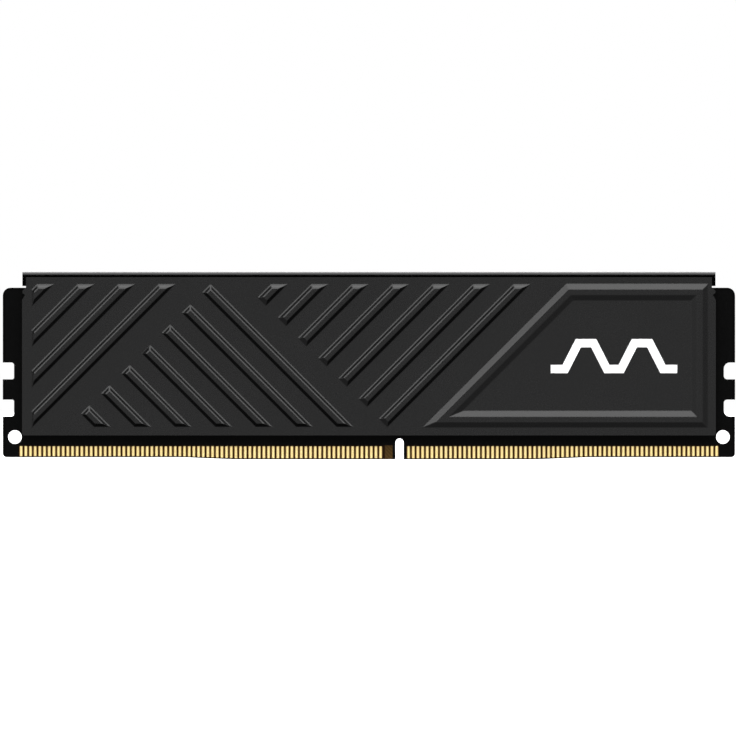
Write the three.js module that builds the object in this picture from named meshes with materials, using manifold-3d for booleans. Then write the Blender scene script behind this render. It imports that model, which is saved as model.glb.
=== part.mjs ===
// A desktop memory module with a two-piece aluminium heat spreader.
// Millimetres, +Z up. X = 0 is the middle of the board's length, Y = 0 the middle of its
// thickness and Z = 0 the lowest stretch of the contact edge. The front faces -Y.

import * as THREE from 'three';
import { mergeVertices } from 'three/addons/utils/BufferGeometryUtils.js';
import Module from 'manifold-3d';

const wasm = await Module();
wasm.setup();

// ---- driving dimensions ----

const BOARD = {
  length: 133.35,
  height: 31.25,
  thickness: 1.4,
  topCornerRadius: 1.4,
  bottomCornerRadius: 0.7,
  endLift: 0.38,
  keyX: 5.575,
  keyWidth: 1.5,
  keyDepth: 3.8,
  notchDepth: 2.05,
  notchRadii: { left: { outer: 0.5, inner: 0.35 }, right: { outer: 1.1, inner: 0.6 } },
  notches: [[7.8, 10.87], [14.57, 17.63]],
  holeX: 64.475,
  holeZ: 4.06,
  holeRadius: 1.25,
};
// X of the ends of the two slopes that lead from the raised ends down to the low middle.
const EDGE_SLOPES = { leftHigh: -34.425, leftLow: -24.225, rightLow: 30.175, rightHigh: 40.375 };

const CONTACT = {
  pitch: 0.85,
  width: 0.6,
  thickness: 0.05,
  top: 2.38,
  edgeGap: 0.18,
  tieBar: 0.2,
  firstX: -63.325,
  leftCount: 78,
  lastX: 63.325,
  rightCount: 67,
};

const CHIP = { width: 7.5, height: 11, thickness: 1.1, centreZ: 17.6, firstX: 11, pitch: 14.2, perHalf: 4 };
const EEPROM = { width: 3, height: 2, thickness: 0.75, x: 0, z: 18.5 };
const ARRAY = { width: 2, height: 1, thickness: 0.45 };
const SERIES_ARRAY = { spread: 2.2, z: 6.4 };
const TERMINATION = { count: 5, x: 60.4, firstZ: 11.5, pitch: 2.8 };
const CAPACITOR = { width: 1.6, height: 0.8, thickness: 0.8, z: 26.2 };
const TAPE = { halfLength: 60.5, bottom: 8.5, top: 28.5, thickness: 0.5 };

const PLATE = {
  sheet: 0.6,
  halfWidth: 63.13,
  bottom: 4.36,
  cornerRadius: 0.3,
  frontTop: 33.17,
  neckHalfWidth: 62.42,
  hookTip: 63.05,
  hookRoot: 62.6,
  hookZ: [29, 29.95, 30.25, 30.7, 31.3],
};
const PAN = {
  halfWidth: 63.08,
  top: 34.12,
  tabBottom: 31.56,
  topBend: 1,
  sideBend: 0.8,
  lipRadius: 0.55,
  lipSetback: 0.5,
};

// Raised ribs run at 45 degrees. A rising rib's centre line is x - z = c, a falling one's is x + z = c.
const RIB = { halfWidth: 1.04, facet: 0.6, height: 0.5, top: 31.77 };
const RECESS = { halfWidth: 0.65, facet: 0.4, depth: 0.4, endGap: 0.37 };
const OUTER_RISING = { first: -90.69, pitch: 7.37, count: 4, end: -61.35, endRun: 0.6 };
const FALLING = { first: -42.67, pitch: 7.358, count: 7, start: -60.6, bottom: 5.92 };
const INNER_RISING = { first: -48.14, pitch: 7.358, count: 7, end: 9.12, endRun: 1.5 };

// The mitred frame round the panel, by the middle of its flat top on each side.
const RIDGE = {
  top: 30.44,
  bottom: 7.27,
  right: 60.21,
  diagonal: 6.08,
  halfFlat: 0.5,
  outerFacet: 1,
  innerFacet: 1.05,
};

const EMBLEM = {
  x: 44.6, z: 18.8, width: 23, height: 6.2, stroke: 1.5, thickness: 0.05, lead: 2.6, slope: 2.4,
};

const ARC_STEP = Math.PI / 10;
const SINK = 0.1;
const HALF_BOARD = BOARD.thickness / 2;
const CHIP_FACE = HALF_BOARD + CHIP.thickness;
const PLATE_INSIDE = CHIP_FACE + TAPE.thickness;
const PLATE_FACE = PLATE_INSIDE + PLATE.sheet;

// ---- materials ----

const finish = (color, roughness, metalness) =>
  new THREE.MeshStandardMaterial({ color, roughness, metalness });

const MATERIALS = {
  solderMask: finish(0x0d0d0c, 0.4, 0),
  gold: finish(0xd8ab52, 0.28, 1),
  spreader: finish(0x2b2b2c, 0.45, 0.5),
  mould: finish(0x1b1b1d, 0.6, 0),
  tape: finish(0x8b8f93, 0.9, 0),
  ink: finish(0xf2f2f2, 0.6, 0),
  resistor: finish(0x16181a, 0.45, 0),
  capacitor: finish(0x8a6a4a, 0.5, 0),
};

// ---- solids ----

function toSolid(geometry) {
  const bare = geometry.index ? geometry.toNonIndexed() : geometry.clone();
  bare.deleteAttribute('normal');
  bare.deleteAttribute('uv');
  const merged = mergeVertices(bare);
  const vertProperties = new Float32Array(merged.attributes.position.array);
  const triVerts = new Uint32Array(merged.index.array);
  return new wasm.Manifold(new wasm.Mesh({ numProp: 3, vertProperties, triVerts }));
}

function toGeometry(solid) {
  const mesh = solid.getMesh();
  const geometry = new THREE.BufferGeometry();
  geometry.setAttribute('position', new THREE.BufferAttribute(mesh.vertProperties, 3));
  geometry.setIndex(new THREE.BufferAttribute(mesh.triVerts, 1));
  geometry.computeVertexNormals();
  return geometry;
}

const joined = (solids) => solids.reduce((whole, solid) => whole.add(solid));

const shapeOf = (points) => new THREE.Shape(points.map(([x, y]) => new THREE.Vector2(x, y)));

// Extrudes an outline drawn in X and Z through the thickness from y0 to y1.
function slab(shape, y0, y1) {
  const geometry = new THREE.ExtrudeGeometry(shape, { depth: y1 - y0, bevelEnabled: false });
  return geometry.applyMatrix4(new THREE.Matrix4().set(1, 0, 0, 0, 0, 0, -1, y1, 0, 1, 0, 0, 0, 0, 0, 1));
}

// Extrudes an outline drawn in Y and Z along the length from x0 to x1.
function lengthwise(shape, x0, x1) {
  const geometry = new THREE.ExtrudeGeometry(shape, { depth: x1 - x0, bevelEnabled: false });
  return geometry.applyMatrix4(new THREE.Matrix4().set(0, 0, 1, x0, 1, 0, 0, 0, 0, 1, 0, 0, 0, 0, 0, 1));
}

// Extrudes an outline drawn in X and Y upwards from z0 to z1.
function upright(shape, z0, z1) {
  return new THREE.ExtrudeGeometry(shape, { depth: z1 - z0, bevelEnabled: false }).translate(0, 0, z0);
}

// Points of an arc from angle a to angle b, in radians, ends included.
function arc(x, y, radius, a, b) {
  const steps = Math.max(2, Math.round(Math.abs(b - a) / ARC_STEP));
  return Array.from({ length: steps + 1 }, (_, i) => {
    const angle = a + ((b - a) * i) / steps;
    return [x + radius * Math.cos(angle), y + radius * Math.sin(angle)];
  });
}

const mirrored = (points) => points.map(([x, y]) => [-x, y]).reverse();

const quarter = Math.PI / 2;

// ---- circuit board ----

// The contact edge is lowest in the middle and lifts towards both ends.
function edgeHeight(x) {
  const { leftHigh, leftLow, rightLow, rightHigh } = EDGE_SLOPES;
  const left = (leftLow - x) / (leftLow - leftHigh);
  const right = (x - rightLow) / (rightHigh - rightLow);
  return BOARD.endLift * Math.min(1, Math.max(0, left, right));
}

// Right-hand end of the board from the bottom corner up to the top corner, notches included.
// The lowest and the highest corner of the pair of notches have the outer radius.
function boardEnd({ outer, inner }) {
  const end = BOARD.length / 2;
  const { topCornerRadius: rTop, bottomCornerRadius: rBottom } = BOARD;
  const floor = end - BOARD.notchDepth;
  const points = arc(end - rBottom, BOARD.endLift + rBottom, rBottom, -quarter, 0);
  BOARD.notches.forEach(([low, high], i) => {
    const [rLow, rHigh] = i === 0 ? [outer, inner] : [inner, outer];
    points.push([end, low]);
    points.push(...arc(floor + rLow, low + rLow, rLow, 3 * quarter, 2 * quarter));
    points.push(...arc(floor + rHigh, high - rHigh, rHigh, 2 * quarter, quarter));
    points.push([end, high]);
  });
  return points.concat(arc(end - rTop, BOARD.height - rTop, rTop, 0, quarter));
}

function keyNotch() {
  const half = BOARD.keyWidth / 2;
  const { keyX, keyDepth } = BOARD;
  return [[keyX - half, 0], ...arc(keyX, keyDepth - half, half, 2 * quarter, 0), [keyX + half, 0]];
}

function circuitBoard() {
  const { leftHigh, leftLow, rightLow, rightHigh } = EDGE_SLOPES;
  const bottom = [[leftHigh, BOARD.endLift], [leftLow, 0], ...keyNotch(), [rightLow, 0]];
  bottom.push([rightHigh, BOARD.endLift]);
  const { left, right } = BOARD.notchRadii;
  const outline = shapeOf([...bottom, ...boardEnd(right), ...mirrored(boardEnd(left))]);
  for (const side of [-1, 1]) {
    const rim = arc(side * BOARD.holeX, BOARD.holeZ, BOARD.holeRadius, 0, 4 * quarter).slice(0, -1);
    outline.holes.push(shapeOf(rim));
  }
  return slab(outline, -HALF_BOARD, HALF_BOARD);
}

// ---- edge contacts ----

// A run of contacts, held together along their upper ends by a narrow bar.
function contactRun(firstX, count, face) {
  const half = CONTACT.width / 2;
  const points = [];
  for (let i = 0; i < count; i += 1) {
    const x = firstX + i * CONTACT.pitch;
    const left = x - half;
    const right = x + half;
    points.push([left, CONTACT.top], [left, edgeHeight(left) + CONTACT.edgeGap]);
    points.push([right, edgeHeight(right) + CONTACT.edgeGap], [right, CONTACT.top]);
  }
  const barTop = CONTACT.top + CONTACT.tieBar;
  const lastX = firstX + (count - 1) * CONTACT.pitch;
  points.push([lastX + half, barTop], [firstX - half, barTop]);
  const [y0, y1] = layer(face, HALF_BOARD, CONTACT.thickness);
  return slab(shapeOf(points), y0, y1);
}

// Y range of a layer that starts at a distance from the mid-plane; face is -1 in front and 1 behind.
function layer(face, start, thickness) {
  return face < 0 ? [-start - thickness, -start] : [start, start + thickness];
}

// ---- components on the board ----

// A box on the front or back of the board, centred at x, z.
function component(face, x, z, width, height, thickness, start = HALF_BOARD) {
  const [y0, y1] = layer(face, start, thickness);
  return new THREE.BoxGeometry(width, y1 - y0, height).translate(x, (y0 + y1) / 2, z);
}

// X of the chips from left to right: two banks with a wider space between them.
function chipColumns() {
  const bank = Array.from({ length: CHIP.perHalf }, (_, i) => CHIP.firstX + i * CHIP.pitch);
  return [...bank.map((x) => -x).reverse(), ...bank];
}

// X of the gaps between neighbouring chips of one bank.
function chipGaps() {
  const columns = chipColumns();
  const middles = columns.slice(1).map((x, i) => (x + columns[i]) / 2);
  return middles.filter((x) => Math.abs(x) > CHIP.firstX);
}

function thermalTape(face) {
  const height = TAPE.top - TAPE.bottom;
  const z = (TAPE.top + TAPE.bottom) / 2;
  return component(face, 0, z, 2 * TAPE.halfLength, height, TAPE.thickness, CHIP_FACE);
}

// ---- heat spreader ----

// Where the lines a.x * x + a.z * z = a.d and the same of b cross.
function crossing(a, b) {
  const det = a.x * b.z - a.z * b.x;
  return [(a.d * b.z - a.z * b.d) / det, (a.x * b.d - a.d * b.x) / det];
}

// A line with its outward normal at angle (degrees) and at distance d along that normal.
// The flank that starts from it is run times as wide as the others.
function side(angle, d, run = 1) {
  const turn = THREE.MathUtils.degToRad(angle);
  return { x: Math.cos(turn), z: Math.sin(turn), d, run };
}

// Corners of the convex polygon inside the given lines, each line moved in by inset times its run.
function corners(lines, inset) {
  const moved = lines.map((line) => ({ ...line, d: line.d - inset * line.run }));
  return moved.map((line, i) => crossing(line, moved[(i + 1) % moved.length]));
}

// A flat-topped block with sloping flanks: its foot fills the lines at y = foot, its top at
// y = top is smaller by inset all round, and it carries on below its foot by SINK.
function frustum(lines, foot, top, inset) {
  const direction = Math.sign(top - foot);
  const spread = (inset * SINK) / Math.abs(top - foot);
  const low = corners(lines, -spread).map(([x, z]) => [x, foot - direction * SINK, z]);
  const high = corners(lines, inset).map(([x, z]) => [x, top, z]);
  const n = lines.length;
  const index = [];
  for (let i = 1; i < n - 1; i += 1) {
    index.push(0, i, i + 1, n, n + i + 1, n + i);
  }
  for (let i = 0; i < n; i += 1) {
    const j = (i + 1) % n;
    index.push(i, n + i, n + j, i, n + j, j);
  }
  if (direction < 0) {
    index.reverse();
  }
  const geometry = new THREE.BufferGeometry();
  geometry.setAttribute('position', new THREE.Float32BufferAttribute([...low, ...high].flat(), 3));
  geometry.setIndex(index);
  return toSolid(geometry);
}

// The boundary lines of every rib, anticlockwise, each rib narrowed to halfWidth and cut short by endGap.
function ribLines(halfWidth, endGap) {
  const ribs = [];
  const root = Math.SQRT1_2;
  const top = side(90, RIB.top - endGap);
  for (let i = 0; i < OUTER_RISING.count; i += 1) {
    const c = (OUTER_RISING.first + i * OUTER_RISING.pitch) * root;
    const end = side(180, -OUTER_RISING.end - endGap, OUTER_RISING.endRun);
    ribs.push([side(-45, c + halfWidth), top, side(135, halfWidth - c), end]);
  }
  for (let i = 0; i < FALLING.count; i += 1) {
    const c = (FALLING.first + i * FALLING.pitch) * root;
    const start = side(135, -FALLING.start * root - endGap);
    ribs.push([side(45, c + halfWidth), start, side(225, halfWidth - c), side(270, -FALLING.bottom - endGap)]);
  }
  for (let i = 0; i < INNER_RISING.count; i += 1) {
    const c = (INNER_RISING.first + i * INNER_RISING.pitch) * root;
    const end = side(225, -INNER_RISING.end * root - endGap, INNER_RISING.endRun);
    ribs.push([side(-45, c + halfWidth), top, side(135, halfWidth - c), end]);
  }
  return ribs;
}

// The four sides of the panel frame, moved outwards from the middle of its flat top by offset.
function ridgeLines(offset) {
  return [
    side(0, RIDGE.right + offset),
    side(90, RIDGE.top + offset),
    side(135, offset - RIDGE.diagonal * Math.SQRT1_2),
    side(270, offset - RIDGE.bottom),
  ];
}

// The raised frame: a block with sloping flanks, less a block that widens outwards.
function panelFrame() {
  const face = -PLATE_FACE;
  const crest = face - RIB.height;
  const block = frustum(ridgeLines(RIDGE.halfFlat + RIDGE.outerFacet), face, crest, RIDGE.outerFacet);
  const well = frustum(ridgeLines(-RIDGE.halfFlat), crest, face, RIDGE.innerFacet);
  const foot = frustum(ridgeLines(-RIDGE.halfFlat - RIDGE.innerFacet), face, face + 2 * SINK, 0);
  return block.subtract(well).subtract(foot);
}

// Everything pressed out of a plate's outer face, and the hollows behind the ribs.
function pressing() {
  const face = -PLATE_FACE;
  const ribs = ribLines(RIB.halfWidth, 0).map((lines) => frustum(lines, face, face - RIB.height, RIB.facet));
  const inside = -PLATE_INSIDE;
  const hollows = ribLines(RECESS.halfWidth, RECESS.endGap)
    .map((lines) => frustum(lines, inside, inside - RECESS.depth, RECESS.facet));
  return { raised: joined([...ribs, panelFrame()]), hollow: joined(hollows) };
}

// Right-hand edge of a plate, from its bottom corner up past the small hook to the narrower neck.
function plateSide(top, neckHalfWidth) {
  const { halfWidth, bottom, cornerRadius: r, hookTip, hookRoot, hookZ } = PLATE;
  const corner = arc(halfWidth - r, bottom + r, r, -quarter, 0);
  const hook = [[halfWidth, hookZ[0]], [hookRoot, hookZ[1]], [hookTip, hookZ[2]], [hookTip, hookZ[3]]];
  return [...corner, ...hook, [neckHalfWidth, hookZ[4]], [neckHalfWidth, top]];
}

function flatSheet(top, neckHalfWidth) {
  const edge = plateSide(top, neckHalfWidth);
  return toSolid(slab(shapeOf([...edge, ...mirrored(edge)]), -PLATE_FACE, -PLATE_INSIDE));
}

function frontPlate() {
  const { raised, hollow } = pressing();
  return toGeometry(flatSheet(PLATE.frontTop, PLATE.neckHalfWidth).add(raised).subtract(hollow));
}

// A box-shaped block with its bent edges rounded, from which the pan above the board is made.
// It is drawn for the plate whose outer face is at -Y: the flange and tabs reach back to y = +reach.
function panBlock(shrink, reach, bottom) {
  const topBend = PAN.topBend - shrink;
  const sideBend = PAN.sideBend - shrink;
  const face = -PLATE_FACE + shrink;
  const top = PAN.top - shrink;
  const half = PAN.halfWidth - shrink;
  const r = PAN.lipRadius;
  const lip = shrink > 0 ? [[reach, top]] : arc(reach - r, top - r, r, 0, quarter);
  const profile = shapeOf([
    [face, bottom],
    [reach, bottom],
    ...lip,
    ...arc(face + topBend, top - topBend, topBend, quarter, 2 * quarter),
  ]);
  const plan = shapeOf([
    ...arc(half - sideBend, face + sideBend, sideBend, -quarter, 0),
    [half, reach],
    [-half, reach],
    ...arc(-half + sideBend, face + sideBend, sideBend, 2 * quarter, 3 * quarter),
  ]);
  const long = toSolid(lengthwise(profile, -half, half));
  return long.intersect(toSolid(upright(plan, bottom, top)));
}

// The back plate is drawn facing front and then turned half a turn about Z.
function backPlate() {
  const reach = PLATE_FACE - PAN.lipSetback;
  const pan = panBlock(0, reach, PAN.tabBottom)
    .subtract(panBlock(PLATE.sheet, reach + 1, PAN.tabBottom - 1));
  const neck = PAN.halfWidth - PAN.sideBend;
  const { raised, hollow } = pressing();
  const sheet = flatSheet(PAN.tabBottom + SINK, neck);
  return toGeometry(pan.add(sheet).add(raised).subtract(hollow).rotate([0, 0, 180]));
}

// ---- emblem ----

// Mitred outline of a stroke that follows the given points.
function strokeOutline(points, width) {
  const half = width / 2;
  const sides = [1, -1].map((turn) => points.map(([x, z], i) => {
    const before = points[Math.max(i - 1, 0)];
    const after = points[Math.min(i + 1, points.length - 1)];
    const into = i > 0 ? new THREE.Vector2(x - before[0], z - before[1]).normalize() : null;
    const out = i < points.length - 1 ? new THREE.Vector2(after[0] - x, after[1] - z).normalize() : null;
    const a = into ?? out;
    const b = out ?? into;
    const normal = new THREE.Vector2(-a.y - b.y, a.x + b.x).normalize();
    const reach = (turn * half) / (normal.x * -a.y + normal.y * a.x);
    return [x + normal.x * reach, z + normal.y * reach];
  }));
  return [...sides[1], ...sides[0].reverse()];
}

// A plain two-pulse line, printed in white on the panel.
function panelEmblem() {
  const { x, z, width, height, stroke, lead, slope } = EMBLEM;
  const rise = (height - stroke) / 2;
  const plateau = (width - 4 * slope - 3 * lead) / 2;
  const steps = [[lead, -1], [slope, 1], [plateau, 1], [slope, -1], [lead, -1], [slope, 1], [plateau, 1]];
  steps.push([slope, -1], [lead, -1]);
  const points = [[x - width / 2, z - rise]];
  for (const [run, level] of steps) {
    points.push([points.at(-1)[0] + run, z + level * rise]);
  }
  const outline = shapeOf(strokeOutline(points, stroke));
  return slab(outline, -PLATE_FACE - EMBLEM.thickness, -PLATE_FACE);
}

// ---- assembly ----

const module = new THREE.Group();

function addPart(name, geometry, material) {
  const mesh = new THREE.Mesh(geometry, material);
  mesh.name = name;
  module.add(mesh);
}

addPart('circuit_board', circuitBoard(), MATERIALS.solderMask);

const rightFirstX = CONTACT.lastX - (CONTACT.rightCount - 1) * CONTACT.pitch;
for (const [sideName, face] of [['front', -1], ['back', 1]]) {
  const left = contactRun(CONTACT.firstX, CONTACT.leftCount, face);
  const right = contactRun(rightFirstX, CONTACT.rightCount, face);
  addPart(`contacts_${sideName}_left`, left, MATERIALS.gold);
  addPart(`contacts_${sideName}_right`, right, MATERIALS.gold);
  addPart(`${sideName}_thermal_tape`, thermalTape(face), MATERIALS.tape);
  chipColumns().forEach((x, i) => {
    const chip = component(face, x, CHIP.centreZ, CHIP.width, CHIP.height, CHIP.thickness);
    addPart(`memory_chip_${sideName}_${i + 1}`, chip, MATERIALS.mould);
  });
}

addPart('spd_eeprom', component(-1, EEPROM.x, EEPROM.z, EEPROM.width, EEPROM.height, EEPROM.thickness),
  MATERIALS.mould);

chipColumns().flatMap((x) => [x - SERIES_ARRAY.spread, x + SERIES_ARRAY.spread]).forEach((x, i) => {
  const body = component(-1, x, SERIES_ARRAY.z, ARRAY.width, ARRAY.height, ARRAY.thickness);
  addPart(`series_resistor_array_${String(i + 1).padStart(2, '0')}`, body, MATERIALS.resistor);
});

for (let i = 0; i < TERMINATION.count; i += 1) {
  const z = TERMINATION.firstZ + i * TERMINATION.pitch;
  const body = component(-1, TERMINATION.x, z, ARRAY.height, ARRAY.width, ARRAY.thickness);
  addPart(`termination_array_${i + 1}`, body, MATERIALS.resistor);
}

for (const [sideName, face, columns] of [['front', -1, chipGaps()], ['back', 1, chipGaps().slice(1, -1)]]) {
  columns.forEach((x, i) => {
    const body = component(face, x, CAPACITOR.z, CAPACITOR.width, CAPACITOR.height, CAPACITOR.thickness);
    addPart(`bulk_capacitor_${sideName}_${i + 1}`, body, MATERIALS.capacitor);
  });
}

addPart('front_spreader_plate', frontPlate(), MATERIALS.spreader);
addPart('back_spreader_plate', backPlate(), MATERIALS.spreader);
addPart('panel_emblem', panelEmblem(), MATERIALS.ink);

export default module;
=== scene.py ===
"""Looks of a desktop memory module with a two-piece heat spreader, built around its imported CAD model.

Blender units are metres. Sizes below are in millimetres and turned into metres by MM.
"""
import itertools
import math

import bmesh
import bpy
from mathutils import Matrix, Vector


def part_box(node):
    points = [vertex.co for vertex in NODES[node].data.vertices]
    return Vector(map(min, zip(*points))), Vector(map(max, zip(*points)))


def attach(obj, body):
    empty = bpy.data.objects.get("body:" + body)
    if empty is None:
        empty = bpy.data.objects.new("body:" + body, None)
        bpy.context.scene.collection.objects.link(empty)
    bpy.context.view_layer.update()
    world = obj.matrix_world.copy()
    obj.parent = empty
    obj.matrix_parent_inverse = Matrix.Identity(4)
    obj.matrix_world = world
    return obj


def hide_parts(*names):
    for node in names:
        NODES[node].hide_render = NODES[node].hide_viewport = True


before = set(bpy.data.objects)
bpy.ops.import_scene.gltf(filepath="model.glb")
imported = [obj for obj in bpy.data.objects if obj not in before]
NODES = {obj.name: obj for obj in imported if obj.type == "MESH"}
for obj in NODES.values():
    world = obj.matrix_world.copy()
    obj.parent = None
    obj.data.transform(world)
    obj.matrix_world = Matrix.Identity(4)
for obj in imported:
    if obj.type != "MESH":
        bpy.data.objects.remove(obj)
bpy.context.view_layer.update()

MM = 0.001
BODY = "root"

# ---- sizes repeated from the CAD model ----
BOARD_HALF_LENGTH = 66.675
BOARD_TOP = 31.25
BOARD_FACE = 0.7           # from the board's mid-plane
EDGE_LIFT = 0.38
EDGE_SLOPES = ((-34.425, -24.225), (40.375, 30.175))   # X of the high and low end of both slopes
CONTACT_PITCH = 0.85
CONTACT_WIDTH = 0.6
CONTACT_TOP = 2.38
CONTACT_GAP = 0.18         # bare board below a contact
MASK_OPENINGS = ((-63.75, 4.3), (6.85, 63.75))         # X ranges of bare laminate, left and right
MASK_OPENING_TOP = 2.55
KEY_SIDE = (2.9, 4.35)     # X range of the darker laminate between the left contacts and the key
PLATE_FACE = 2.9           # from the board's mid-plane to the sheet's outer face
PRESSED_HALF_LENGTH = 61.8                             # the ribs and the panel frame end within this
PRESSED_HEIGHTS = (5.6, 32.1)
FRAME_DIAGONAL = 2.5       # x - z on a line between the last rib and the raised panel frame
LIP_BOTTOM = 31.4          # the top flange's cut front edge lies above this
LIP_Y = (-2.5, 0.0)
CHIP_COLUMNS = [side * (11 + 14.2 * i) for side in (-1, 1) for i in range(4)]
CHIP_MIDDLE = 17.6

# ---- detail sizes ----
RIB_ROUNDING = 0.22
SHADE_ROUNDING = 0.08      # on the flanks of ribs that face down
FRAME_ROUNDING = 0.12
CUT_ROUNDING = 0.07
BOARD_ROUNDING = 0.02
TAPE_ROUNDING = 0.06
SHARP_ANGLE = 60           # degrees between two faces at a cut edge
COPPER_MARGIN = 0.45       # from the board's outline to its copper
LEAD_TOP = 4.3             # where the traces above the contacts dive inside
CONTACT_CORNER = 0.12
CONTACT_LAYERS = ((0.0, 0.0), (0.0, 0.01), (0.05, 0.045))   # inset and height above the board
SUBSTRATE = 0.25
BALL_GAP = 0.25
BALL_PITCH = 0.8
BALL_COLUMNS = (-4, -3, -2, 2, 3, 4)
BALL_ROWS = 13
BALL_RADII = (0.14, 0.225, 0.16)                       # at the lowest, middle and highest Y
THREAD_WAVES = 9.0         # radians a millimetre across the tape's weave
CAP_SKIN = 0.03            # how far a metal end cap stands proud of its ceramic body
BULK_CAP = 0.35            # length of an end cap
SMALL_CAP = 0.22
SMALL_CAPACITOR = (1.0, 0.5, 0.5)
SMALL_COLUMNS = (-2.4, -0.8, 0.8, 2.4)                 # X from the middle of a package
SMALL_HEIGHTS = (10.9, 24.3)
TERMINALS = [0.25 + 0.5 * i for i in range(4)]         # along one side of a small package

# ---- camera ----
FRAME_WIDTH = 134.05       # what the picture spans at the module's mid-plane
FRAME_CENTRE = (-0.17, 16.63)
LENS = 1000.0
SENSOR = 36.0

# ---- light levels ----
TOP_LIGHT = 5.9
STRIP_LIGHT = 6.3          # along the lower side of the soft boxes
BOX_LIGHT = 4.2
BOX_TOP_LIGHT = 1.8        # added towards the upper side of the soft boxes
FILL_LIGHT = 0.97

FLOOR_RADIUS = 4.0         # metres


# ---- material graphs ----

def map_inputs(value, low, high, to_low, to_high):
    """Inputs of a node that maps value from low..high to to_low..to_high."""
    return {
        "Value": value,
        "From Min": low,
        "From Max": high,
        "To Min": to_low,
        "To Max": to_high,
    }


class Graph:
    """A material's node graph, written as short calls that return sockets."""

    def __init__(self, name, **constants):
        self.material = bpy.data.materials.new(name)
        self.material.use_nodes = True
        self.nodes = self.material.node_tree.nodes
        self.links = self.material.node_tree.links
        self.shader = self.nodes["Principled BSDF"]
        self.shade(**constants)

    def node(self, kind, inputs=None, output=0, **settings):
        made = self.nodes.new(kind)
        for key, value in settings.items():
            setattr(made, key, value)
        for key, value in (inputs or {}).items():
            self.set(made.inputs[key], value)
        return made.outputs[output]

    def set(self, socket, value):
        if isinstance(value, bpy.types.NodeSocket):
            self.links.new(value, socket)
        else:
            socket.default_value = value

    def shade(self, **values):
        for key, value in values.items():
            self.set(self.shader.inputs[key.replace("_", " ")], value)
        return self.material

    def place(self):
        """Coordinates in millimetres, in the frame of the whole module."""
        metres = self.node("ShaderNodeTexCoord", output="Object")
        return self.node("ShaderNodeVectorMath", {0: metres, 1: (1 / MM,) * 3}, operation="MULTIPLY")

    def axes(self, vector):
        split = self.node("ShaderNodeSeparateXYZ", {0: vector}).node
        return split.outputs["X"], split.outputs["Y"], split.outputs["Z"]

    def facing(self):
        """The surface's direction along X, Y and Z."""
        return self.axes(self.node("ShaderNodeTexCoord", output="Normal"))

    def math(self, operation, a, b=0.0):
        return self.node("ShaderNodeMath", {0: a, 1: b}, operation=operation)

    def both(self, *masks):
        product = masks[0]
        for mask in masks[1:]:
            product = self.math("MULTIPLY", product, mask)
        return product

    def noise(self, place, size, detail=2.0, roughness=0.5):
        """Noise from about 0 to 1 whose blobs are about size millimetres across."""
        inputs = {"Vector": place, "Scale": 1.0 / size, "Detail": detail, "Roughness": roughness}
        return self.node("ShaderNodeTexNoise", inputs, output="Fac")

    def rise(self, value, low, high, to_low=0.0, to_high=1.0):
        """value mapped from low..high to to_low..to_high and held there outside."""
        return self.node("ShaderNodeMapRange", map_inputs(value, low, high, to_low, to_high))

    def span(self, value, low, high, soft):
        """1 where value is between low and high and 0 outside, changing within soft of both."""
        above = self.rise(value, low - soft, low + soft)
        below = self.rise(value, high + soft, high - soft)
        return self.both(above, below)

    def blend(self, factor, a, b):
        """Colour a where factor is 0 and b where it is 1."""
        made = self.nodes.new("ShaderNodeMix")
        made.data_type = "RGBA"
        for socket, value in ((made.inputs[0], factor), (made.inputs[6], a), (made.inputs[7], b)):
            self.set(socket, value)
        return made.outputs[2]

    def bump(self, height, distance, strength=1.0, normal=None):
        inputs = {"Height": height, "Distance": distance * MM, "Strength": strength}
        if normal is not None:
            inputs["Normal"] = normal
        return self.node("ShaderNodeBump", inputs)


def rgb(red, green, blue):
    return (red, green, blue, 1.0)


def grey(level):
    return rgb(level, level, level * 1.02)


def spreader_coat():
    """Satin black coating: fine grain over a soft ripple, with painted shade on the flange's cut lip,
    made near-black and without gloss in place of the shadow under the flange.
    """
    g = Graph("spreader_coat")
    place = g.place()
    _, y, z = g.axes(place)
    grain = g.noise(place, 0.16, detail=3.0)
    ripple = g.noise(place, 2.2)
    patches = g.noise(place, 14.0)
    colour = g.blend(patches, grey(0.0022), grey(0.0028))
    colour = g.blend(g.rise(grain, 0.35, 0.75), colour, grey(0.0036))
    ahead = g.rise(g.facing()[1], -0.985, -0.998)
    front, back = LIP_Y
    along_lip = g.both(g.rise(y, front, front + 0.05), g.rise(y, back, back - 0.1))
    # painted shade: the flange's cut faces that face straight ahead above LIP_BOTTOM are turned
    # near-black and unglossy below, standing in for the shadow in the gap under the flange
    cut = g.both(g.rise(z, LIP_BOTTOM, LIP_BOTTOM + 0.1), ahead, along_lip)
    colour = g.blend(cut, colour, grey(0.0003))
    rough = g.math("ADD", g.rise(grain, 0.2, 0.8, 0.22, 0.3), g.rise(patches, 0.3, 0.7, -0.02, 0.02))
    rough = g.math("MAXIMUM", rough, cut)
    gloss = g.rise(cut, 0.0, 1.0, 0.29, 0.015)
    soft_ripple = g.bump(ripple, 0.012, 0.35)
    relief = g.bump(grain, 0.01, 0.3, soft_ripple)
    return g.shade(Base_Color=colour, Roughness=rough, Specular_IOR_Level=gloss, Normal=relief)


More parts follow.
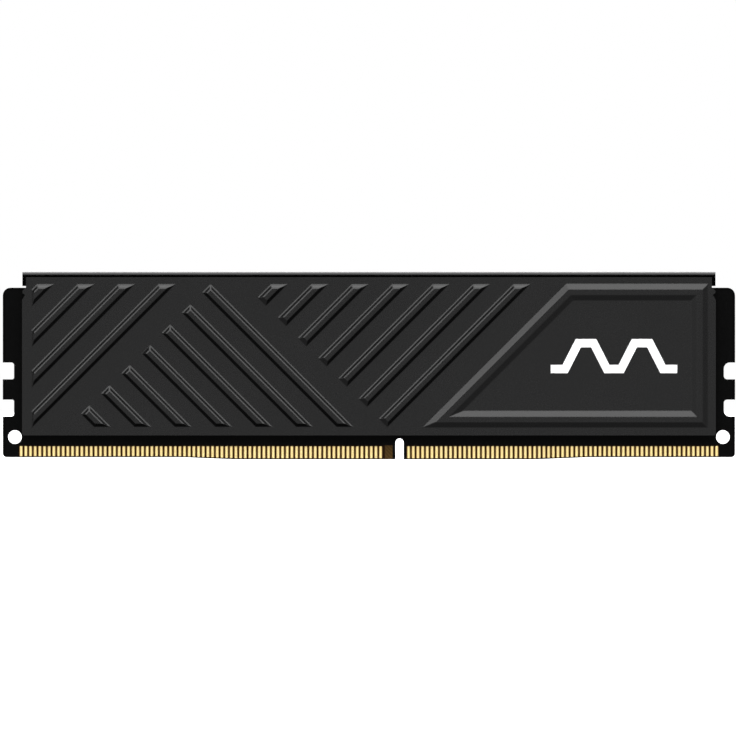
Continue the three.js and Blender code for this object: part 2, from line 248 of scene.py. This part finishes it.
def solder_mask():
    """Black lacquer over copper, brown laminate between the contacts, cut laminate at the edges."""
    g = Graph("solder_mask", Specular_IOR_Level=0.037)
    place = g.place()
    x, _, z = g.axes(place)
    at_edge = g.rise(g.math("ABSOLUTE", g.facing()[1]), 0.75, 0.6)

    inside = g.math("SUBTRACT", BOARD_HALF_LENGTH - COPPER_MARGIN, g.math("ABSOLUTE", x))
    below_top = g.math("SUBTRACT", BOARD_TOP - COPPER_MARGIN, z)
    copper = g.rise(g.math("MINIMUM", inside, below_top), -0.05, 0.05)
    tint = g.noise(place, 0.5, detail=3.0)
    mask = g.blend(g.rise(tint, 0.3, 0.8), grey(0.0009), grey(0.0016))
    mask = g.blend(copper, grey(0.0), mask)

    fibres = {"Vector": place, "Scale": 0.9, "Distortion": 1.2, "Detail": 2.0}
    weave = g.node("ShaderNodeTexWave", fibres, output="Fac", bands_direction="DIAGONAL")
    laminate = g.blend(weave, rgb(0.04, 0.022, 0.006), rgb(0.061, 0.034, 0.0095))
    openings = [g.span(x, low, high, 0.03) for low, high in MASK_OPENINGS]
    below_mask = g.rise(z, MASK_OPENING_TOP + 0.03, MASK_OPENING_TOP - 0.03)
    opening = g.both(g.math("ADD", *openings), below_mask)
    beside_key = g.span(x, *KEY_SIDE, 0.05)
    bare = g.blend(beside_key, rgb(0.01, 0.0035, 0.0004), laminate)
    colour = g.blend(opening, mask, bare)

    plies = {"Vector": place, "Scale": 0.55}
    layers = g.node("ShaderNodeTexWave", plies, output="Fac", bands_direction="Y")
    cut = g.blend(layers, rgb(0.0045, 0.0035, 0.002), rgb(0.012, 0.009, 0.005))
    colour = g.blend(at_edge, colour, cut)

    wave = g.math("SINE", g.math("MULTIPLY", x, 2 * math.pi / CONTACT_PITCH))
    leads = g.both(g.rise(wave, 0.2, 0.6), g.rise(z, LEAD_TOP + 0.1, LEAD_TOP - 0.1))
    rough = g.rise(g.math("MAXIMUM", opening, at_edge), 0.0, 1.0, 0.3, 0.6)
    fine = g.bump(g.noise(place, 0.22, detail=3.0), 0.008, 0.3)
    return g.shade(Base_Color=colour, Roughness=rough, Normal=g.bump(leads, 0.02, 0.5, fine))


def hard_gold():
    """Hard gold plating with faint lengthwise wipe marks, and painted shade in dark brown along the
    sides of every contact, standing in for light falling off across its rounded edges.
    """
    g = Graph("hard_gold", Metallic=0.6)
    place = g.place()
    x, _, _ = g.axes(place)
    # the cosine is -1 along the middle of every contact and 0.6 at its sides
    wave = g.math("COSINE", g.math("MULTIPLY", x, 2 * math.pi / CONTACT_PITCH))
    middle = g.rise(wave, 0.6, -0.9)
    stretched = g.node("ShaderNodeVectorMath", {0: place, 1: (9.0, 9.0, 1.2)}, operation="MULTIPLY")
    wipes = g.noise(stretched, 1.0, detail=4.0)
    blotch = g.noise(place, 1.7)
    colour = g.blend(blotch, rgb(0.98, 0.76, 0.31), rgb(1.0, 0.84, 0.4))
    # painted shade: every contact darkens to brown towards its sides, as light would fall off across a
    # domed contact
    colour = g.blend(middle, rgb(0.22, 0.085, 0.008), colour)
    rough = g.rise(wipes, 0.25, 0.75, 0.26, 0.4)
    return g.shade(Base_Color=colour, Roughness=rough, Normal=g.bump(wipes, 0.004, 0.4))


def emblem_ink():
    """Slightly speckled, matt white ink."""
    g = Graph("emblem_ink")
    place = g.place()
    speckle = g.noise(place, 0.12, detail=3.0)
    colour = g.blend(g.rise(speckle, 0.25, 0.75), grey(0.86), grey(0.96))
    rough = g.rise(speckle, 0.2, 0.8, 0.45, 0.6)
    return g.shade(Base_Color=colour, Roughness=rough, Normal=g.bump(speckle, 0.006, 0.4))


def thermal_tape():
    """Grey silicone tape over a fine glass weave."""
    g = Graph("thermal_tape")
    place = g.place()
    x, _, z = g.axes(place)
    waves = [g.math("SINE", g.math("MULTIPLY", axis, THREAD_WAVES)) for axis in (x, z)]
    threads = g.both(*waves)
    mottle = g.noise(place, 0.9, detail=4.0)
    colour = g.blend(mottle, rgb(0.13, 0.145, 0.16), rgb(0.2, 0.215, 0.23))
    colour = g.blend(g.rise(threads, 0.2, 0.6, 0.0, 0.3), colour, rgb(0.1, 0.11, 0.13))
    rough = g.rise(mottle, 0.3, 0.7, 0.7, 0.85)
    return g.shade(Base_Color=colour, Roughness=rough, Normal=g.bump(threads, 0.02, 0.4))


def moulding():
    """Black moulding compound of a chip, with a matt round mark near its first ball."""
    g = Graph("moulding")
    place = g.place()
    u, _, w = g.axes(g.node("ShaderNodeTexCoord", output="Generated"))
    # distances from the middle of the mark, in millimetres on a memory chip
    across = g.math("MULTIPLY", g.math("SUBTRACT", u, 0.12), 7.5)
    up = g.math("MULTIPLY", g.math("SUBTRACT", w, 0.92), 11.0)
    squares = g.math("ADD", g.math("MULTIPLY", across, across), g.math("MULTIPLY", up, up))
    dot = g.rise(squares, 0.12, 0.09)
    grain = g.noise(place, 0.1, detail=4.0, roughness=0.7)
    colour = g.blend(grain, grey(0.01), grey(0.022))
    colour = g.blend(g.both(dot, 0.7), colour, grey(0.06))
    rough = g.rise(dot, 0.0, 1.0, 0.55, 0.8)
    relief = g.math("SUBTRACT", g.both(grain, 0.3), dot)
    return g.shade(Base_Color=colour, Roughness=rough, Normal=g.bump(relief, 0.02, 0.5))


def mottled(name, dark, light, size=0.25, rough=(0.35, 0.5), **constants):
    """A plain surface with a slight mottle in colour, gloss and height."""
    g = Graph(name, **constants)
    mottle = g.noise(g.place(), size, detail=3.0)
    colour = g.blend(mottle, dark, light)
    gloss = g.rise(mottle, 0.3, 0.7, *rough)
    return g.shade(Base_Color=colour, Roughness=gloss, Normal=g.bump(mottle, 0.008, 0.35))


# ---- CAD nodes shown as they are, with materials and modifiers ----

def dress(node, material):
    """Gives a CAD node its finished material in place of the plain one."""
    mesh = NODES[node].data
    mesh.materials.clear()
    mesh.materials.append(material)


def whole_faces(piece):
    """Joins a CAD node's triangles into whole flat faces, by modifiers; its own mesh stays as it is."""
    weld = piece.modifiers.new("weld", "WELD")
    weld.merge_threshold = 0.0005 * MM
    flat = piece.modifiers.new("flat faces", "DECIMATE")
    flat.decimate_type = "DISSOLVE"
    flat.angle_limit = math.radians(0.5)


def round_edges(piece, width, segments, weighted=False):
    """Rounds a piece's sharp edges, or if weighted every edge by its own share of width."""
    bevel = piece.modifiers.new("rounded edges", "BEVEL")
    bevel.width = width * MM
    bevel.segments = segments
    if weighted:
        bevel.limit_method = "WEIGHT"
        bevel.use_clamp_overlap = False
    else:
        bevel.limit_method = "ANGLE"
        bevel.angle_limit = math.radians(SHARP_ANGLE)


def facet_shading(piece):
    """Shades every face flat; the facets of the rounded edges are too narrow to be seen."""
    mesh = piece.data
    normals = mesh.attributes.get("custom_normal")
    if normals:
        mesh.attributes.remove(normals)
    for polygon in mesh.polygons:
        polygon.use_smooth = False


def is_pressed(x, y, z):
    """Whether a corner of the front plate belongs to the outside of its ribs or frame."""
    low, high = PRESSED_HEIGHTS
    return y < -PLATE_FACE + 0.05 and abs(x) < PRESSED_HALF_LENGTH and low < z < high


def press_weight(ends, normals):
    """Share of RIB_ROUNDING for an edge of the front plate, from its ends and the faces beside it."""
    in_one_plane = len(normals) < 2
    if in_one_plane or not all(is_pressed(*end) for end in ends):
        return 0.0
    if any(x - z > FRAME_DIAGONAL for x, _, z in ends):
        return FRAME_ROUNDING / RIB_ROUNDING
    faces_down = min(up for _, _, up in normals) < -0.2
    return SHADE_ROUNDING / RIB_ROUNDING if faces_down else 1.0


def press_lines(node):
    """Rounds a plate's ribs along crest and foot as pressing does, and its frame and cut edges less."""
    piece = NODES[node]
    mesh = piece.data
    turn = -1 if node.startswith("back") else 1     # measures the back plate as if turned to the front
    places = []
    for vertex in mesh.vertices:
        x, y, z = (piece.matrix_world @ vertex.co) / MM
        places.append((round(turn * x, 3), round(turn * y, 3), round(z, 3)))
    normals = {}
    for polygon in mesh.polygons:
        direction = tuple(round(c, 1) for c in polygon.normal)
        for key in polygon.edge_keys:
            normals.setdefault(frozenset(places[i] for i in key), set()).add(direction)
    weights = mesh.attributes.new("bevel_weight_edge", "FLOAT", "EDGE")
    for edge in mesh.edges:
        ends = frozenset(places[i] for i in edge.vertices)
        weights.data[edge.index].value = press_weight(ends, normals.get(ends, ()))
    whole_faces(piece)
    round_edges(piece, RIB_ROUNDING, 9, weighted=True)
    round_edges(piece, CUT_ROUNDING, 2)
    facet_shading(piece)


# ---- pieces drawn here ----

def add_piece(name, bm, materials, stands_for=()):
    """Turns a bmesh drawn in millimetres into a piece that rides on the module."""
    bmesh.ops.recalc_face_normals(bm, faces=bm.faces)
    bm.transform(Matrix.Scale(MM, 4))
    mesh = bpy.data.meshes.new(name)
    bm.to_mesh(mesh)
    bm.free()
    for material in materials:
        mesh.materials.append(material)
    piece = bpy.data.objects.new(name, mesh)
    bpy.context.scene.collection.objects.link(piece)
    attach(piece, BODY)
    if stands_for:
        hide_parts(*stands_for)
    return piece


def edge_height(x):
    """Height of the board's contact edge, which lifts towards both ends."""
    shares = [(x - low) / (high - low) for high, low in EDGE_SLOPES]
    return EDGE_LIFT * min(1.0, max(0.0, *shares))


def rounded_outline(x0, x1, z0, z1, radius, steps=3):
    """Points round a rectangle with rounded corners."""
    points = []
    for cx, cz, start in ((x1, z1, 0), (x0, z1, 90), (x0, z0, 180), (x1, z0, 270)):
        ox = cx - math.copysign(radius, cx - (x0 + x1) / 2)
        oz = cz - math.copysign(radius, cz - (z0 + z1) / 2)
        for i in range(steps + 1):
            angle = math.radians(start + 90 * i / steps)
            points.append((ox + radius * math.cos(angle), oz + radius * math.sin(angle)))
    return points


def add_stack(bm, rings, material=0):
    """Closes rings with equal numbers of points, each ([(x, z), ...], y), into one solid."""
    loops = [[bm.verts.new((x, y, z)) for x, z in points] for points, y in rings]
    count = len(loops[0])
    faces = [bm.faces.new(loops[0]), bm.faces.new(loops[-1])]
    for low, high in zip(loops, loops[1:]):
        for i in range(count):
            j = (i + 1) % count
            faces.append(bm.faces.new((low[i], low[j], high[j], high[i])))
    for face in faces:
        face.material_index = material


def add_block(bm, low, high, edge=0.03, radius=0.03, material=0):
    """A block from low to high, with rounded upright corners and bevelled front and back edges."""
    x0, y0, z0 = low
    x1, y1, z1 = high
    rings = []
    for inset, y in ((edge, y0), (0, y0 + edge), (0, y1 - edge), (edge, y1)):
        outline = rounded_outline(x0 + inset, x1 - inset, z0 + inset, z1 - inset, radius, steps=2)
        rings.append((outline, y))
    add_stack(bm, rings, material)


def node_box(node):
    """A CAD node's lowest and highest corner in millimetres, and the face of the board it stands on."""
    low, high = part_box(node)
    side = -1 if low.y + high.y < 0 else 1
    return low / MM, high / MM, side


def between(side, near, far):
    """Y range of a layer between two distances from the board's mid-plane, on one side of it."""
    return (near, far) if side > 0 else (-far, -near)


def contacts(node, gold):
    """Separate gold contacts in place of one run of the CAD model."""
    low, high, side = node_box(node)
    count = round((high.x - low.x - CONTACT_WIDTH) / CONTACT_PITCH) + 1
    bm = bmesh.new()
    for i in range(count):
        x = low.x + CONTACT_WIDTH / 2 + i * CONTACT_PITCH
        bottom = edge_height(x) + CONTACT_GAP
        rings = []
        for inset, rise in CONTACT_LAYERS:
            half = CONTACT_WIDTH / 2 - inset
            outline = rounded_outline(x - half, x + half, bottom + inset, CONTACT_TOP - inset,
                                      CONTACT_CORNER - inset)
            rings.append((outline, side * (BOARD_FACE + rise)))
        add_stack(bm, rings)
    add_piece(node.replace("contacts", "gold_contacts"), bm, [gold], [node])


def chip(node, mould, substrate):
    """A ball-grid package: moulding on a thin green substrate, clear of the board."""
    low, high, side = node_box(node)
    top = max(abs(low.y), abs(high.y))
    base = BOARD_FACE + BALL_GAP
    bm = bmesh.new()
    layers = ((base + SUBSTRATE, top, 0.03), (base, base + SUBSTRATE, 0.01))
    for material, (near, far, edge) in enumerate(layers):
        y0, y1 = between(side, near, far)
        add_block(bm, (low.x, y0, low.z), (high.x, y1, high.z), edge, 0.05, material)
    name = node.replace("memory_chip", "memory_package")
    add_piece(name, bm, [mould, substrate], [node])


def solder_balls(side, name, solder):
    """The flattened balls under the eight packages on one face of the board."""
    bm = bmesh.new()
    y0, y1 = between(side, BOARD_FACE, BOARD_FACE + BALL_GAP)
    levels = list(zip(BALL_RADII, (y0, (y0 + y1) / 2, y1)))
    turns = [math.radians(60 * k) for k in range(6)]
    for column in CHIP_COLUMNS:
        for i in BALL_COLUMNS:
            for j in range(BALL_ROWS):
                x = column + i * BALL_PITCH
                z = CHIP_MIDDLE + (j - (BALL_ROWS - 1) / 2) * BALL_PITCH
                rings = []
                for radius, y in levels:
                    points = [(x + radius * math.cos(a), z + radius * math.sin(a)) for a in turns]
                    rings.append((points, y))
                add_stack(bm, rings)
    piece = add_piece(name, bm, [solder])
    for polygon in piece.data.polygons:
        polygon.use_smooth = True


def end_capped(bm, low, high, cap):
    """A ceramic body with a metal cap at each end along X."""
    (x0, y0, z0), (x1, y1, z1) = low, high
    add_block(bm, (x0 + cap, y0 + CAP_SKIN, z0 + CAP_SKIN), (x1 - cap, y1 - CAP_SKIN, z1 - CAP_SKIN))
    add_block(bm, (x0, y0, z0), (x0 + cap, y1, z1), 0.05, 0.06, material=1)
    add_block(bm, (x1 - cap, y0, z0), (x1, y1, z1), 0.05, 0.06, material=1)


def capacitors(name, nodes, materials):
    """The larger capacitors between the packages on one face of the board."""
    bm = bmesh.new()
    for node in nodes:
        low, high, _ = node_box(node)
        end_capped(bm, low, high, BULK_CAP)
    add_piece(name, bm, materials, nodes)


def decoupling(materials):
    """The smaller capacitors above and below every package, on both faces of the board."""
    bm = bmesh.new()
    length, depth, width = SMALL_CAPACITOR
    y_ranges = [between(side, BOARD_FACE, BOARD_FACE + depth) for side in (-1, 1)]
    middles = [column + dx for column in CHIP_COLUMNS for dx in SMALL_COLUMNS]
    for x, z, (y0, y1) in itertools.product(middles, SMALL_HEIGHTS, y_ranges):
        low = (x - length / 2, y0, z - width / 2)
        high = (x + length / 2, y1, z + width / 2)
        end_capped(bm, low, high, SMALL_CAP)
    add_piece("decoupling_capacitors", bm, materials)


def resistor_arrays(name, nodes, materials):
    """Four-resistor arrays: a glazed body with four metal terminals along each long side."""
    bm = bmesh.new()
    for node in nodes:
        low, high, side = node_box(node)
        y0, y1 = between(side, BOARD_FACE, max(abs(low.y), abs(high.y)))
        add_block(bm, (low.x, y0 + 0.03, low.z + 0.06), (high.x, y1 - 0.03, high.z - 0.06))
        for along in TERMINALS:
            x = low.x + along
            for z0, z1 in ((low.z, low.z + 0.25), (high.z - 0.25, high.z)):
                add_block(bm, (x - 0.15, y0, z0), (x + 0.15, y1, z1), material=1)
    add_piece(name, bm, materials, nodes)


def serial_memory(node, mould, tin):
    """The small configuration memory: a leadless package with four terminals on each side."""
    low, high, side = node_box(node)
    y0, y1 = between(side, BOARD_FACE, max(abs(low.y), abs(high.y)))
    bm = bmesh.new()
    add_block(bm, (low.x, y0, low.z), (high.x, y1, high.z), 0.04, 0.05)
    near, far = between(side, BOARD_FACE, BOARD_FACE + 0.2)
    for along in TERMINALS:
        z = low.z + along
        for x0, x1 in ((low.x - 0.02, low.x + 0.3), (high.x - 0.3, high.x + 0.02)):
            add_block(bm, (x0, near, z - 0.12), (x1, far, z + 0.12), 0.02, 0.02, material=1)
    add_piece("spd_package", bm, [mould, tin], [node])


# ---- light, floor and camera ----

def studio():
    """A studio as a sky: soft boxes high in front and behind, light overhead, a weak fill lower down.

    A brighter strip runs along the lower side of the soft boxes. Below it a flag takes nearly all of
    the fill away. The fill is a little stronger from -X. The camera itself sees plain white.
    """
    world = bpy.data.worlds.new("studio")
    bpy.context.scene.world = world
    world.use_nodes = True
    tree = world.node_tree
    tree.nodes.clear()

    def node(kind, inputs, **settings):
        made = tree.nodes.new(kind)
        for key, value in settings.items():
            setattr(made, key, value)
        for key, value in inputs.items():
            if isinstance(value, bpy.types.NodeSocket):
                tree.links.new(value, made.inputs[key])
            else:
                made.inputs[key].default_value = value
        return made.outputs

    def combine(operation, a, b=0.0):
        return node("ShaderNodeMath", {0: a, 1: b}, operation=operation)[0]

    def step(value, low, high, to_low=0.0, to_high=1.0):
        inputs = map_inputs(value, low, high, to_low, to_high)
        return node("ShaderNodeMapRange", inputs, interpolation_type="SMOOTHSTEP")[0]

    # up, depth and aside are the parts of a direction of length 1
    direction = node("ShaderNodeTexCoord", {})["Generated"]
    axes = node("ShaderNodeSeparateXYZ", {0: direction})
    up = axes["Z"]
    depth = combine("ABSOLUTE", axes["Y"])
    aside = combine("ABSOLUTE", axes["X"])
    overhead = step(up, 0.78, 0.93, 0.0, TOP_LIGHT)
    strip_end = step(up, 0.46, 0.56, 0.0, STRIP_LIGHT - BOX_LIGHT)
    strip = combine("SUBTRACT", step(up, 0.3, 0.38, 0.0, STRIP_LIGHT), strip_end)
    glow = combine("ADD", strip, step(up, 0.56, 0.85, 0.0, BOX_TOP_LIGHT))
    boxes = combine("MULTIPLY", step(depth, 0.3, 0.6), glow)
    around = combine("MAXIMUM", step(depth, 0.2, 0.8), step(aside, 0.85, 0.98))
    low_fill = step(up, -1.0, 0.0, 0.45 * FILL_LIGHT, FILL_LIGHT)
    flag = step(up, 0.06, 0.15, 1.0, 0.05)
    sideways = step(axes["X"], -1.0, 1.0, 1.2, 0.8)
    reach = combine("MULTIPLY", around, sideways)
    fill = combine("MULTIPLY", reach, combine("MULTIPLY", low_fill, flag))
    total = combine("ADD", combine("MAXIMUM", overhead, boxes), fill)
    light = node("ShaderNodeBackground", {"Color": (1, 1, 1, 1), "Strength": total})[0]
    seen = node("ShaderNodeBackground", {"Color": (1, 1, 1, 1)})[0]
    camera_ray = node("ShaderNodeLightPath", {})["Is Camera Ray"]
    mixed = node("ShaderNodeMixShader", {0: camera_ray, 1: light, 2: seen})[0]
    node("ShaderNodeOutputWorld", {0: mixed})
    bpy.context.scene.view_settings.view_transform = "Standard"


def floor():
    """A white table that only the camera sees, so that it throws no light up at the module."""
    bm = bmesh.new()
    bmesh.ops.create_circle(bm, cap_ends=True, segments=96, radius=FLOOR_RADIUS)
    mesh = bpy.data.meshes.new("floor")
    bm.to_mesh(mesh)
    bm.free()
    disc = bpy.data.objects.new("floor", mesh)
    bpy.context.scene.collection.objects.link(disc)
    white = rgb(1.0, 1.0, 1.0)
    g = Graph("floor", Roughness=0.9, Emission_Color=white, Emission_Strength=0.72)
    mottle = g.noise(g.place(), 40.0)
    mesh.materials.append(g.shade(Base_Color=g.blend(mottle, grey(0.44), grey(0.46))))
    disc.visible_diffuse = False
    disc.visible_glossy = False


def camera():
    """A long lens straight in front of the module."""
    data = bpy.data.cameras.new("camera")
    data.lens = LENS
    data.sensor_width = SENSOR
    data.clip_start = 0.05
    data.clip_end = 20.0
    eye = bpy.data.objects.new("camera", data)
    bpy.context.scene.collection.objects.link(eye)
    distance = LENS / SENSOR * FRAME_WIDTH * MM
    eye.location = Vector((FRAME_CENTRE[0] * MM, -distance, FRAME_CENTRE[1] * MM))
    eye.rotation_euler = (math.pi / 2, 0, 0)
    bpy.context.scene.camera = eye


# ---- the module ----

def named(start):
    """The CAD nodes whose names begin with start."""
    return [name for name in NODES if name.startswith(start)]


camera()
studio()
floor()

coat = spreader_coat()
gold = hard_gold()
tape = thermal_tape()
mould = moulding()
substrate = mottled("substrate", rgb(0.012, 0.035, 0.014), rgb(0.02, 0.05, 0.02))
solder = mottled("solder", grey(0.6), grey(0.75), 0.1, (0.25, 0.4), Metallic=1.0)
tin = mottled("tin", grey(0.62), grey(0.78), 0.12, (0.3, 0.45), Metallic=1.0)
glaze = mottled("resistor_glaze", rgb(0.01, 0.011, 0.012), rgb(0.02, 0.022, 0.025))
capacitor_body = mottled("capacitor_body", rgb(0.2, 0.13, 0.07), rgb(0.3, 0.2, 0.12))

for plate in named("front_spreader") + named("back_spreader"):
    press_lines(plate)
    dress(plate, coat)
dress("circuit_board", solder_mask())
whole_faces(NODES["circuit_board"])
round_edges(NODES["circuit_board"], BOARD_ROUNDING, 1)
facet_shading(NODES["circuit_board"])
dress("panel_emblem", emblem_ink())
for layer in named("front_thermal") + named("back_thermal"):
    dress(layer, tape)
    round_edges(NODES[layer], TAPE_ROUNDING, 2)
for run in named("contacts_"):
    contacts(run, gold)
for package in named("memory_chip_"):
    chip(package, mould, substrate)
solder_balls(-1, "solder_balls_front", solder)
solder_balls(1, "solder_balls_back", solder)
serial_memory("spd_eeprom", mould, tin)
resistor_arrays("series_resistors", named("series_resistor_array_"), [glaze, tin])
resistor_arrays("termination_resistors", named("termination_array_"), [glaze, tin])
capacitors("bulk_capacitors_front", named("bulk_capacitor_front_"), [capacitor_body, tin])
capacitors("bulk_capacitors_back", named("bulk_capacitor_back_"), [capacitor_body, tin])
decoupling([capacitor_body, tin])
